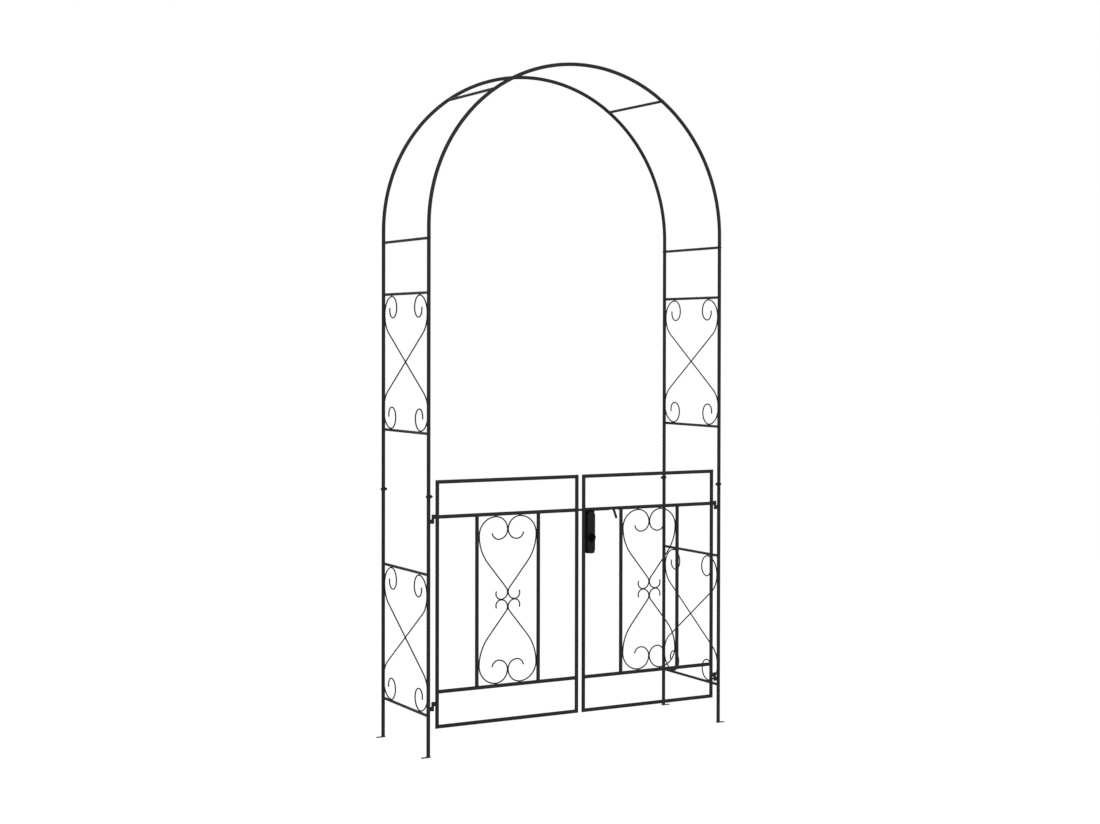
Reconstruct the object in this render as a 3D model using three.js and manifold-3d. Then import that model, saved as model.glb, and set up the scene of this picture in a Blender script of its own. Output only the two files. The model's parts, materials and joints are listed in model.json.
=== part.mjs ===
// A garden arch over a gate of two leaves, made of round steel tube, rod and bent wire.
// Millimetres, +Z up. The ground is z = 0 and the gate fills the front of the arch, on the -Y side.
import * as THREE from "three";
import { mergeVertices } from "three/addons/utils/BufferGeometryUtils.js";
import Module from "manifold-3d";

const wasm = await Module();
wasm.setup();

// Stock that the arch is made of
const tube = 12;
const tubeWall = 1;
const rod = 9;
const wire = 4;

// The arch
const postSpacing = 1140;
const archDepth = 378;
const springHeight = 1755;
const springBarDrop = 42;
const archBarAngle = 35;
const jointHeight = 861;
const spigotLength = 40;
const spigotWall = 1;
const footReach = 20;
const footThickness = 2;

// The side panels, one above the other: the lowest bar, and the step from bar to bar
const lowBarHeight = 137;
const panelPitch = 465.5;

// The gate
const gateBottom = 93;
const gateHeight = 821.5;
const railInset = 115.5;
const hingeGap = 19.5;
const leafGap = 15;
const uprightSpacing = 231;
const uprightShift = 2;

// The hinges
const pin = 5;
const barrel = 9;
const barrelHeight = 15;
const hingeWeb = 4.5;
const upperHingeHeight = 794;
const lowerHingeHeight = 175;

// The bolts that hold each post together
const bolt = 5;
const boltHead = 10;
const boltHeadHeight = 3;
const boltCrownShare = 0.6;
const boltRimShare = 0.2;
const capNut = 11;
const capNutFlat = 4;
const capNutTip = 9;
const capCrownShare = 0.64;

// The slide bolt, which runs inside the mid rail of the right leaf
const slideBolt = 8;
const slideThrow = 9;
const slideDraw = 7;
const slideRun = 129;
const handleBend = 14;
const handleBendAngle = 70;
const handleEnd = 28;

// The lock in the right leaf, under its mid rail
const lockWidth = 30;
const lockHeight = 145;
const lockDepth = 29;
const lockPlate = 3;
const plateOverhang = 1;
const knob = 28;
const knobDepth = 8;
const knobEdge = 1;
const knobGrip = 4;
const knobGripWidth = 6;
const knobRise = 56;
const spindle = 8;
const spindleReach = 8;
const deadbolt = 7;
const deadboltLength = 40;

// How closely the pieces sit: at rest on each other, welded into each other, free to run
const seat = 0.3;
const weld = 0.3;
const running = 0.2;
const overrun = 5;

// The scrolls. A curl is four arcs, each tighter than the last, as shares of half a gate panel.
const gateCurlShares = [0.585, 0.415, 0.31, 0.235];
const gateCurlTurns = [90, 90, 90, 82];
const gateSweepShare = 0.76;
const smallCurlShares = [0.225, 0.18];
const smallCurlTurns = [90, 115];
const sideCurlShares = [0.585, 0.38, 0.31, 0.25];
const sideCurlTurns = [90, 90, 90, 105];
const sideSweepShare = 0.47;

// Sides of the round sections, and how far a step may cut inside its bend
const tubeSides = 10;
const rodSides = 8;
const wireSides = 5;
const bendSlack = 1;
const jointSlack = 0.1;
const endStep = 0.5;

// Places worked out from the sizes above
const halfTurn = Math.PI;
const quarterTurn = halfTurn / 2;
const degree = halfTurn / 180;
const archRadius = postSpacing / 2;
const panelBars = [0, 1, 2, 3].map((k) => lowBarHeight + k * panelPitch);
const scrollPanels = [0, 2];
const springBarHeight = springHeight - springBarDrop;
const springJoint = springBarHeight + spigotLength / 2;
const postJoint = jointHeight + spigotLength / 2;
const spigot = tube - 2 * tubeWall - 2 * seat;
const archJointAngle = archBarAngle - archAngle(spigotLength / 2);
const hingeOffset = hingeGap / 2 + tube / 2;
const hingeX = archRadius - hingeOffset;
const leafOuter = hingeX - hingeOffset;
const leafInner = (leafGap + tube) / 2;
const leafWidth = leafOuter - leafInner;
const leafMiddle = (leafOuter + leafInner) / 2;
const frameBottom = gateBottom + tube / 2;
const frameTop = gateBottom + gateHeight - tube / 2;
const lowRail = frameBottom + railInset;
const midRail = frameTop - railInset;
const lockTop = midRail - tube / 2 - seat;
const lockMiddle = leafInner + tube / 2 + seat + lockWidth / 2;
const knobHeight = lockTop - lockHeight + knobRise;
const deadboltTip = leafInner - tube / 2 + running;
const slideTip = seat - leafGap / 2;
const lockFront = lockDepth / 2 + seat + lockPlate;
const knobFront = lockFront + seat + knobDepth + knobGrip;

const paint = { color: 0x262626, metalness: 0.35, roughness: 0.42 };
const wirePaint = { color: 0x232323, metalness: 0.35, roughness: 0.46 };
const lockPaint = { color: 0x1f1f20, metalness: 0.3, roughness: 0.38 };
const fastenerPaint = { color: 0x18181a, metalness: 0.5, roughness: 0.35 };

// Solids

function toSolid(geometry) {
  geometry.deleteAttribute("normal");
  geometry.deleteAttribute("uv");
  const merged = mergeVertices(geometry);
  const index = merged.index.array;
  const faces = [];
  for (let k = 0; k < index.length; k += 3) {
    const [a, b, c] = index.slice(k, k + 3);
    if (a !== b && b !== c && c !== a) faces.push(a, b, c);
  }
  const vertProperties = Float32Array.from(merged.attributes.position.array);
  const mesh = new wasm.Mesh({ numProp: 3, vertProperties, triVerts: Uint32Array.from(faces) });
  return new wasm.Manifold(mesh);
}

function toGeometry(solid) {
  const { vertProperties, triVerts } = solid.getMesh();
  const geometry = new THREE.BufferGeometry();
  geometry.setAttribute("position", new THREE.BufferAttribute(vertProperties, 3));
  geometry.setIndex(new THREE.BufferAttribute(triVerts, 1));
  geometry.computeVertexNormals();
  return geometry;
}

// A cylinder along X, Y or Z, centred on the origin
function cylinder(diameter, length, axis = "z", sides = tubeSides) {
  const geometry = new THREE.CylinderGeometry(diameter / 2, diameter / 2, length, sides);
  if (axis === "x") geometry.rotateZ(quarterTurn);
  if (axis === "z") geometry.rotateX(quarterTurn);
  return toSolid(geometry);
}

// A cylinder to cut with: its flats, not its corners, lie at the diameter
function cutter(diameter, length, axis = "z", sides = tubeSides) {
  return cylinder(diameter / Math.cos(Math.PI / sides), length, axis, sides);
}

function box(x, y, z) {
  return toSolid(new THREE.BoxGeometry(x, y, z));
}

// A profile of [radius, height] points turned about Z
function turned(profile, sides) {
  const points = profile.map(([radius, height]) => new THREE.Vector2(radius, height));
  return toSolid(new THREE.LatheGeometry(points, sides).rotateX(quarterTurn));
}

// A straight bar along X between two upright tubes, its ends coped round them
function copedBar(diameter, bore, span, sides) {
  let bar = cylinder(diameter, span, "x", sides);
  if (bore > 0) bar = bar.subtract(cylinder(bore, span + overrun, "x", sides));
  for (const end of [-span / 2, span / 2]) {
    const cope = cutter(tube + 2 * seat, diameter + overrun);
    bar = bar.subtract(cope.translate([end, 0, 0]));
  }
  return bar;
}

// Bends

// A path that runs through its points, with one step of a sweep for each stretch
class Bend extends THREE.Curve {
  constructor(points) {
    super();
    this.points = points;
  }

  getPoint(t, target = new THREE.Vector3()) {
    const run = t * (this.points.length - 1);
    const k = Math.min(Math.floor(run), this.points.length - 2);
    return target.lerpVectors(this.points[k], this.points[k + 1], run - k);
  }

  getUtoTmapping(u) {
    return u;
  }
}

// Points of a bent wire, from a start and a heading: each bend is a radius and a turn in degrees,
// to the left where it is positive, or a straight length and no turn
function follow(start, heading, bends, slack = bendSlack) {
  const points = [start.clone()];
  let angle = heading * degree;
  for (const [size, turn] of bends) {
    const from = points[points.length - 1].clone();
    if (turn === 0) {
      points.push(new THREE.Vector2(Math.cos(angle), Math.sin(angle)).multiplyScalar(size).add(from));
      continue;
    }
    const step = (2 * Math.acos(1 - slack / size)) / degree;
    const count = Math.ceil(Math.abs(turn) / step);
    const left = new THREE.Vector2(-Math.sin(angle), Math.cos(angle));
    const centre = left.multiplyScalar(Math.sign(turn) * size).add(from);
    for (let k = 1; k <= count; k++) {
      points.push(from.clone().rotateAround(centre, (turn * degree * k) / count));
    }
    angle += turn * degree;
  }
  return points;
}

// A round section of the given diameter swept along points in the XZ plane
function bentBar(points, diameter, sides) {
  const corners = [];
  for (let k = 0; k < sides; k++) {
    const angle = (2 * Math.PI * k) / sides;
    corners.push(new THREE.Vector2(Math.cos(angle), Math.sin(angle)).multiplyScalar(diameter / 2));
  }
  const path = new Bend(points.map((p) => new THREE.Vector3(p.x, 0, p.y)));
  const options = { steps: points.length - 1, extrudePath: path };
  return toSolid(new THREE.ExtrudeGeometry(new THREE.Shape(corners), options));
}

// The run from a curl to where the wire crosses over: a wide bend and the straight after it, for a
// wire that moves across by width on its way down by height
function sweep(width, height, share) {
  const reach = (share * (width ** 2 + height ** 2)) / (2 * width);
  const straight = Math.sqrt((width - reach) ** 2 + height ** 2 - reach ** 2);
  const turn = Math.atan2(straight, -reach) - Math.atan2(height, width - reach);
  return { reach, straight, turn: turn / degree };
}

const touch = (wire / 2) * Math.cos(Math.PI / wireSides) - weld;
const gatePanelHalf = uprightSpacing / 2 - tube / 2 - seat - wire / 2;

// A curl's arcs, from the side it starts at round to its tip
function curl(shares, turns) {
  return shares.map((share, k) => [share * (gatePanelHalf - touch), -turns[k]]);
}

// One quarter of a gate scroll: a curl under the rail, then down to a small curl at the middle
function heartWire() {
  const arcs = curl(gateCurlShares, gateCurlTurns);
  const top = (midRail - lowRail - tube - wire) / 2 - seat;
  const side = new THREE.Vector2(-gatePanelHalf, top - arcs[0][0]);
  const [firstSmall, lastSmall] = smallCurlShares.map((share) => share * gatePanelHalf);
  const { reach, straight, turn } = sweep(gatePanelHalf - touch, side.y - touch - firstSmall, gateSweepShare);
  const down = [
    [reach - firstSmall, turn],
    [straight, 0],
    [firstSmall, -turn],
    [firstSmall, -smallCurlTurns[0]],
    [lastSmall, -smallCurlTurns[1]],
  ];
  const up = follow(side, 90, arcs).reverse();
  return bentBar([...up, ...follow(side, -90, down).slice(1)], wire, wireSides);
}

// Four wires welded side to side, which make one heart above another, tip to tip
function gateScroll() {
  const quarter = heartWire();
  const heart = quarter.add(quarter.mirror([1, 0, 0]));
  return heart.add(heart.mirror([0, 0, 1]));
}

// Two wires that cross in the middle of a side panel, one lying on the other, with a curl in each corner
function sideScroll() {
  const arcs = curl(sideCurlShares, sideCurlTurns);
  const width = (archDepth - tube - wire) / 2 - seat;
  const side = new THREE.Vector2(-width, (panelPitch - rod - wire) / 2 - seat - arcs[0][0]);
  const { reach, straight, turn } = sweep(width, side.y, sideSweepShare);
  const up = follow(side, 90, arcs).reverse();
  const half = [...up, ...follow(side, -90, [[reach, turn], [straight, 0]]).slice(1)];
  const rest = half.slice(0, -1).reverse().map((p) => p.clone().negate());
  const one = bentBar([...half, ...rest], wire, wireSides).translate([0, wire / 2 - weld, 0]);
  return one.add(one.rotate([0, 0, 180]));
}

// The arch

// The lower part of a post, open at the top, on a foot that reaches outwards
function lowerPost() {
  const outer = cylinder(tube, postJoint).translate([0, 0, postJoint / 2]);
  const bore = cylinder(tube - 2 * tubeWall, postJoint).translate([0, 0, postJoint / 2 + footThickness]);
  const foot = box(tube + footReach, tube, footThickness).translate([-footReach / 2, 0, footThickness / 2]);
  return outer.subtract(bore).add(foot).subtract(boltHole().translate([0, 0, jointHeight]));
}

function boltHole() {
  return cutter(bolt + 2 * running, tube + overrun, "x", rodSides);
}

// The upper part of a post: its narrowed end stands in the lower part and a bolt goes through both
function upperPost() {
  const [outer, inner] = [tube / 2, tube / 2 - tubeWall];
  const [neck, neckBore] = [spigot / 2, spigot / 2 - spigotWall];
  const profile = [
    [neck, postJoint - spigotLength],
    [neck, postJoint + seat],
    [outer, postJoint + seat],
    [outer, springJoint],
    [inner, springJoint],
    [inner, postJoint + seat + tubeWall],
    [neckBore, postJoint + seat],
    [neckBore, postJoint - spigotLength],
    [neck, postJoint - spigotLength],
  ];
  return turned(profile, tubeSides).subtract(boltHole().translate([0, 0, jointHeight]));
}

// A stretch of the arch between two angles from the crown, drawn about the arch's centre. Its first
// and last steps are short, which keeps its ends square to the arch.
function archStretch(from, to, diameter, slack = bendSlack) {
  const start = new THREE.Vector2(0, archRadius).rotateAround(new THREE.Vector2(), from * degree);
  const turns = [endStep, to - from - 2 * endStep, endStep];
  const bends = turns.map((turn) => [archRadius, turn]);
  return bentBar(follow(start, halfTurn / degree + from, bends, slack), diameter, tubeSides);
}

// The angle in degrees that a length along the arch spans
function archAngle(length) {
  return length / archRadius / degree;
}

// The left stretch of an arch, from the post up to the crown piece, with a socket for it
function archSide() {
  const straight = springHeight - springJoint;
  const bend = archStretch(archJointAngle, 90, tube);
  const leg = cylinder(tube, straight - seat).translate([-archRadius, 0, (seat - straight) / 2]);
  const neck = cylinder(spigot, spigotLength).translate([-archRadius, 0, seat - straight - spigotLength / 2]);
  const mouth = archJointAngle - archAngle(overrun);
  const socketEnd = archJointAngle + archAngle(spigotLength + seat);
  const socket = archStretch(mouth, socketEnd, tube - 2 * tubeWall, jointSlack);
  return bend.add(leg).add(neck.translate([0, 0, seat])).subtract(socket);
}

// The crown of an arch, with a narrowed end for the socket on each side
function archCrown() {
  const end = archJointAngle - archAngle(seat);
  const crown = archStretch(-end, end, tube);
  const neck = archStretch(end - archAngle(overrun), end + archAngle(spigotLength), spigot, jointSlack);
  return crown.add(neck).add(neck.mirror([1, 0, 0]));
}

// A bolt across a post joint along X: a domed head on the outside, a pointed cap nut on the inside
function jointBolt() {
  const face = tube / 2 + seat;
  const head = [
    [0, -face - boltHeadHeight],
    [(boltHead / 2) * boltCrownShare, -face - boltHeadHeight * (1 - boltRimShare)],
    [boltHead / 2, -face],
    [bolt / 2, -face],
    [bolt / 2, face + weld],
    [0, face + weld],
  ];
  const nut = [
    [0, face],
    [capNut / 2, face],
    [capNut / 2, face + capNutFlat],
    [(capNut / 2) * capCrownShare, face + (capNutFlat + capNutTip) / 2],
    [0, face + capNutTip],
  ];
  return turned(head, rodSides).add(turned(nut, wireSides)).rotate([0, 90, 0]);
}

// The part of a hinge on the post, drawn about the pin: a barrel on a web, and the pin above it
function pintle() {
  const web = box(hingeOffset, hingeWeb, barrelHeight).translate([-hingeOffset / 2, 0, 0]);
  const cope = cutter(tube + 2 * seat, barrelHeight + overrun).translate([-hingeOffset, 0, 0]);
  const pinLength = barrelHeight - seat;
  const rising = cylinder(pin, pinLength + weld, "z", rodSides);
  const base = cylinder(barrel, barrelHeight).add(web).subtract(cope);
  return base.add(rising.translate([0, 0, (barrelHeight + pinLength - weld) / 2]));
}

// The part of a hinge on the leaf, drawn about the pin: a barrel that turns on it, and a web
function hingeEye() {
  const web = box(hingeOffset, hingeWeb, barrelHeight).translate([hingeOffset / 2, 0, 0]);
  const cope = cutter(tube + 2 * seat, barrelHeight + overrun).translate([hingeOffset, 0, 0]);
  const bore = cutter(pin + 2 * running, barrelHeight + overrun, "z", rodSides);
  return cylinder(barrel, barrelHeight).add(web).subtract(cope).subtract(bore);
}

// The gate

// A rectangle of tube with mitred corners, standing in the XZ plane
function mitredRing(width, height, diameter) {
  const positions = [];
  const index = [];
  const corners = [[-1, -1], [1, -1], [1, 1], [-1, 1]];
  corners.forEach(([sx, sz], corner) => {
    for (let k = 0; k < tubeSides; k++) {
      const angle = (2 * Math.PI * k) / tubeSides;
      const out = (diameter / 2) * Math.cos(angle);
      positions.push(sx * (width / 2 + out), (diameter / 2) * Math.sin(angle), sz * (height / 2 + out));
      const next = (k + 1) % tubeSides;
      const here = corner * tubeSides;
      const there = ((corner + 1) % corners.length) * tubeSides;
      index.push(here + k, there + next, there + k, here + k, here + next, there + next);
    }
  });
  const geometry = new THREE.BufferGeometry();
  geometry.setAttribute("position", new THREE.Float32BufferAttribute(positions, 3));
  geometry.setIndex(index);
  return toSolid(geometry);
}

// A leaf's frame, drawn about its middle, with a hole in the inner stile for each of the two bolts
function leafFrame() {
  const middle = (frameTop + frameBottom) / 2;
  const holes = [[slideBolt, midRail], [deadbolt, knobHeight]];
  let frame = mitredRing(leafWidth, frameTop - frameBottom, tube);
  for (const [diameter, height] of holes) {
    const hole = cutter(diameter + 2 * running, tube + overrun, "x");
    frame = frame.subtract(hole.translate([leafWidth / 2, 0, height - middle]));
  }
  return frame;
}

function rail() {
  return copedBar(tube, tube - 2 * tubeWall, leafWidth, tubeSides);
}

// The mid rail of the right leaf, slotted underneath for the handle of the slide bolt. It is drawn
// as the rail of a left leaf, so its lock end is at +X.
function slottedRail() {
  const handleReach = handleBend * Math.sin(handleBendAngle * degree) + slideBolt;
  const slotLength = handleReach + slideThrow + slideDraw;
  const slotStart = slideTip + slideRun - slideThrow;
  const slot = box(slotLength, slideBolt + 2 * running, tube);
  return rail().subtract(slot.translate([leafMiddle - slotStart - slotLength / 2, 0, -tube / 2]));
}

function upright() {
  return copedBar(tube, tube - 2 * tubeWall, midRail - lowRail, tubeSides);
}

// The lock

// An upright outline with round ends, given thickness along Y and centred on the origin
function roundEnded(width, height, thickness) {
  const shape = new THREE.Shape();
  const end = (height - width) / 2;
  shape.absarc(0, end, width / 2, 0, halfTurn);
  shape.absarc(0, -end, width / 2, halfTurn, 2 * halfTurn);
  const options = { depth: thickness, bevelEnabled: false, curveSegments: rodSides };
  const geometry = new THREE.ExtrudeGeometry(shape, options);
  return toSolid(geometry.rotateX(quarterTurn).translate(0, thickness / 2, 0));
}

// The case between the plates, drawn about the knob's axis, bored for the deadbolt and the spindle
function lockCase() {
  const rise = lockHeight / 2 - knobRise;
  const body = roundEnded(lockWidth - 2 * plateOverhang, lockHeight - 2 * plateOverhang, lockDepth);
  const boltBore = cutter(deadbolt + 2 * running, deadboltLength, "x", rodSides);
  const spindleBore = cutter(spindle + 2 * running, spindleReach, "y", rodSides);
  const boreEnd = deadboltTip + deadboltLength + seat - lockMiddle;
  return body
    .translate([0, 0, rise])
    .subtract(boltBore.translate([boreEnd - deadboltLength / 2, 0, 0]))
    .subtract(spindleBore.translate([0, -lockDepth / 2, 0]));
}

function plate(drilled) {
  const body = roundEnded(lockWidth, lockHeight, lockPlate).translate([0, 0, lockHeight / 2 - knobRise]);
  if (!drilled) return body;
  return body.subtract(cutter(spindle + 2 * running, lockPlate + overrun, "y", rodSides));
}

// The knob and its spindle, drawn about their axis with the knob's back at y = 0
function knobTurn() {
  const profile = [
    [0, 0],
    [knob / 2 - knobEdge, 0],
    [knob / 2, knobEdge],
    [knob / 2, knobDepth - knobEdge],
    [knob / 2 - knobEdge, knobDepth],
    [0, knobDepth],
  ];
  const disc = turned(profile, 2 * rodSides);
  const grip = box(knobGripWidth, knob - 2 * knobEdge, knobGrip + weld);
  const reach = lockPlate + spindleReach / 2 + seat;
  const stem = cylinder(spindle, reach + weld, "z", rodSides);
  return disc
    .add(grip.translate([0, 0, knobDepth + (knobGrip - weld) / 2]))
    .add(stem.translate([0, 0, (weld - reach) / 2]))
    .rotate([90, 0, 0]);
}

// The slide bolt, drawn from its tip at x = 0 towards +X, with a handle bent down at its end
function slideBar() {
  const bends = [[slideRun, 0], [handleBend, -handleBendAngle], [handleEnd, 0]];
  return bentBar(follow(new THREE.Vector2(0, 0), 0, bends, jointSlack), slideBolt, tubeSides);
}

function deadBar() {
  return cylinder(deadbolt, deadboltLength, "x", tubeSides);
}

// The scene

function piece(name, solid, look, place = [0, 0, 0], turn = [0, 0, 0]) {
  const mesh = new THREE.Mesh(toGeometry(solid), new THREE.MeshStandardMaterial(look));
  mesh.name = name;
  mesh.position.set(...place);
  mesh.rotation.set(...turn);
  return mesh;
}

// The posts, bolts and bars of one side, drawn as the left side
function archSidePanel(side) {
  const group = new THREE.Group();
  const bar = copedBar(rod, 0, archDepth, rodSides);
  const [lower, upper, fastener, scroll] = [lowerPost(), upperPost(), jointBolt(), sideScroll()];
  for (const [end, y] of [["front", -archDepth / 2], ["back", archDepth / 2]]) {
    // The right side is the left one turned round, so its ends change places
    const place = [-archRadius, side === "left" ? y : -y, 0];
    group.add(piece(`${side}_${end}_lower_post`, lower, paint, place));
    group.add(piece(`${side}_${end}_upper_post`, upper, paint, place));
    const joint = [place[0], place[1], jointHeight];
    group.add(piece(`${side}_${end}_joint_bolt`, fastener, fastenerPaint, joint));
  }
  panelBars.forEach((height, k) => {
    group.add(piece(`${side}_panel_bar_${k + 1}`, bar, paint, [-archRadius, 0, height], [0, 0, quarterTurn]));
  });
  group.add(piece(`${side}_spring_bar`, bar, paint, [-archRadius, 0, springBarHeight], [0, 0, quarterTurn]));
  for (const k of scrollPanels) {
    const place = [-archRadius, 0, panelBars[k] + panelPitch / 2];
    const name = k === 0 ? `${side}_lower_scroll` : `${side}_upper_scroll`;
    group.add(piece(name, scroll, wirePaint, place, [0, 0, quarterTurn]));
  }
  if (side === "right") group.rotation.z = halfTurn;
  return group;
}

// One of the two arches: a stretch on each post and the crown between them
function archTubes(end, y) {
  const group = new THREE.Group();
  const stretch = archSide();
  group.add(piece(`${end}_arch_left`, stretch, paint));
  group.add(piece(`${end}_arch_right`, stretch, paint, [0, 0, 0], [0, 0, halfTurn]));
  group.add(piece(`${end}_arch_crown`, archCrown(), paint));
  group.position.set(0, y, springHeight);
  return group;
}

// A bar from arch to arch, drawn on the left of the arch's centre and coped to the bend of each tube
function archBar() {
  const angle = archBarAngle * degree;
  const place = [-archRadius * Math.sin(angle), 0, archRadius * Math.cos(angle)];
  const around = (tube + 2 * seat) / Math.cos(Math.PI / tubeSides);
  const cope = archStretch(archJointAngle, 90, around);
  const bar = cylinder(rod, archDepth, "y", rodSides).translate(place);
  const [front, back] = [-1, 1].map((sign) => cope.translate([0, (sign * archDepth) / 2, 0]));
  return bar.subtract(front).subtract(back);
}

function archBars() {
  const group = new THREE.Group();
  group.add(piece("left_arch_bar", archBar(), paint));
  group.add(piece("right_arch_bar", archBar(), paint, [0, 0, 0], [0, 0, halfTurn]));
  group.position.z = springHeight;
  return group;
}

// The fixed half of the hinges, on the front posts
function pintles() {
  const group = new THREE.Group();
  const solid = pintle();
  for (const [side, sign, turn] of [["left", -1, 0], ["right", 1, halfTurn]]) {
    for (const [level, height] of [["upper", upperHingeHeight], ["lower", lowerHingeHeight]]) {
      const place = [sign * hingeX, -archDepth / 2, height - barrelHeight - seat];
      group.add(piece(`${side}_${level}_pintle`, solid, paint, place, [0, 0, turn]));
    }
  }
  return group;
}

// One leaf, drawn as the left leaf; the right one is the same turned round, with a slotted mid rail
function leaf(side) {
  const group = new THREE.Group();
  const middle = -leafMiddle;
  const panelMiddle = middle - uprightShift;
  const midRailSolid = side === "left" ? rail() : slottedRail();
  group.add(piece(`${side}_leaf_frame`, leafFrame(), paint, [middle, 0, (frameTop + frameBottom) / 2]));
  group.add(piece(`${side}_leaf_mid_rail`, midRailSolid, paint, [middle, 0, midRail]));
  group.add(piece(`${side}_leaf_low_rail`, rail(), paint, [middle, 0, lowRail]));
  for (const [name, sign] of [["hinge", -1], ["latch", 1]]) {
    const place = [panelMiddle + (sign * uprightSpacing) / 2, 0, (midRail + lowRail) / 2];
    group.add(piece(`${side}_leaf_${name}_upright`, upright(), paint, place, [0, quarterTurn, 0]));
  }
  group.add(piece(`${side}_leaf_scroll`, gateScroll(), wirePaint, [panelMiddle, 0, (midRail + lowRail) / 2]));
  for (const [level, height] of [["upper", upperHingeHeight], ["lower", lowerHingeHeight]]) {
    group.add(piece(`${side}_leaf_${level}_eye`, hingeEye(), paint, [-hingeX, 0, height]));
  }
  group.position.y = -archDepth / 2;
  if (side === "right") group.rotation.z = halfTurn;
  return group;
}

// The lock and the slide bolt of the right leaf
function lock() {
  const group = new THREE.Group();
  const axis = [lockMiddle, 0, knobHeight];
  const plateOffset = lockDepth / 2 + seat + lockPlate / 2;
  group.add(piece("lock_case", lockCase(), lockPaint, axis));
  group.add(piece("lock_front_plate", plate(true), lockPaint, [axis[0], -plateOffset, axis[2]]));
  group.add(piece("lock_back_plate", plate(false), lockPaint, [axis[0], plateOffset, axis[2]]));
  group.add(piece("lock_knob", knobTurn(), lockPaint, [axis[0], -lockFront - seat, axis[2]]));
  group.add(piece("deadbolt", deadBar(), fastenerPaint, [deadboltTip + deadboltLength / 2, 0, axis[2]]));
  group.add(piece("slide_bolt", slideBar(), fastenerPaint, [slideTip, 0, midRail]));
  group.position.y = -archDepth / 2;
  return group;
}

const gardenArch = new THREE.Group();
gardenArch.add(archSidePanel("left"), archSidePanel("right"));
gardenArch.add(archTubes("front", -archDepth / 2), archTubes("back", archDepth / 2), archBars());
gardenArch.add(pintles(), leaf("left"), leaf("right"), lock());

// The knob stands out furthest at the front, and the origin lies under the middle of the whole depth
gardenArch.position.y = (knobFront - tube / 2) / 2;

export default gardenArch;
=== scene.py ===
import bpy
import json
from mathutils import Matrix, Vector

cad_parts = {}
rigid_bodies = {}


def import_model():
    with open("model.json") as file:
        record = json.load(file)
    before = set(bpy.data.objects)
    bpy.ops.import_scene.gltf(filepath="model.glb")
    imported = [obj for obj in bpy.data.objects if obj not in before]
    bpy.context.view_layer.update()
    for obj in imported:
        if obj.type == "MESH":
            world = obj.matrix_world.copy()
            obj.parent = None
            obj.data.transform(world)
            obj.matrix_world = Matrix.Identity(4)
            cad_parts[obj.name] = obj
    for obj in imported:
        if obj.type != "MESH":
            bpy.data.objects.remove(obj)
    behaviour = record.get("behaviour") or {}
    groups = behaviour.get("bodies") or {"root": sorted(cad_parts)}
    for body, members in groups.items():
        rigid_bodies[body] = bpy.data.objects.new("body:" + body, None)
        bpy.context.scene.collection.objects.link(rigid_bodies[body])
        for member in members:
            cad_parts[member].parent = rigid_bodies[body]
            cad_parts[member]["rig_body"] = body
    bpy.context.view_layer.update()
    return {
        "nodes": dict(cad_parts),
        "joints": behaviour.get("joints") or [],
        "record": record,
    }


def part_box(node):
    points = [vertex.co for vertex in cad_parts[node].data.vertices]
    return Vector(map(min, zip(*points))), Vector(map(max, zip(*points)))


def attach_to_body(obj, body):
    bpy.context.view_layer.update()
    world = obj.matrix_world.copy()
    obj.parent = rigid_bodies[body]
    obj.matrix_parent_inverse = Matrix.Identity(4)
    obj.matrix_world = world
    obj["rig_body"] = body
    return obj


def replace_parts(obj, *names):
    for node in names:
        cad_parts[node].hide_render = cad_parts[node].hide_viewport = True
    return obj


bl_info = {
    "name": "Garden Arch with Gate",
    "version": (1, 0, 0),
    "blender": (4, 5, 0),
    "location": "3D View > Sidebar > Garden Arch",
    "description": "Models the painted tube, wire and fittings of a garden arch and its gate",
    "category": "Add Mesh",
}

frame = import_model()

import json
from math import atan2, ceil, copysign, cos, pi, radians, sin, sqrt

import bpy
from bpy.props import FloatProperty, FloatVectorProperty, PointerProperty
from mathutils import Matrix, Vector

LEFT, RIGHT, FRONT, BACK, UP = (
    Vector(way) for way in [(-1, 0, 0), (1, 0, 0), (0, -1, 0), (0, 1, 0), (0, 0, 1)]
)
ENDS = ("front", "back")
SLOT_OF = {row["node"]: row["material_slot"] for row in frame["record"]["subparts"]}

# Sides of round sections, the widest step of a bend, the angle that still shades smooth, and the angle
# from which an edge is sharp and gets rounded
TUBE_SIDES = 24
WIRE_SIDES = 12
PLATE_SIDES = 48
NUT_SIDES = 6
TUBE_STEP = radians(2)
WIRE_STEP = radians(7)
SMOOTH_ANGLE = radians(32)
SHARP_ANGLE = radians(50)
EDGE_SEGMENTS = 2

# How close vertices are merged, along a bar and at a mitre, and how close one counts as in line
MERGED = 0.000001
MERGED_MITRE = 0.00002
IN_LINE = 0.00001

# Where the arch bars are, from the middle of the crown, and how far the slide bolt's handle is bent
ARCH_BAR_ANGLE = radians(35)
HANDLE_ANGLE = radians(70)


def middle(node):
    """The middle of a CAD node's box."""
    low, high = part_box(node)
    return (low + high) / 2


POST = middle("left_front_upper_post")
FRONT_Y = POST.y
BACK_Y = middle("left_back_upper_post").y
CENTRE = Vector((0, (FRONT_Y + BACK_Y) / 2, 0))
GATE = Vector((0, FRONT_Y, 0))
HINGE_X = next(joint["pos_m"][0] for joint in frame["joints"] if joint["name"] == "left_leaf_hinge")


def metres(name, description, default):
    """A size in metres that the sidebar shows as a length."""
    look = dict(min=0, precision=5, subtype="DISTANCE", unit="LENGTH")
    return FloatProperty(name=name, description=description, default=default, **look)


def tint(name, description, default):
    """A plain colour."""
    return FloatVectorProperty(
        name=name, description=description, default=default, size=3, min=0, max=1, subtype="COLOR"
    )


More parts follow.
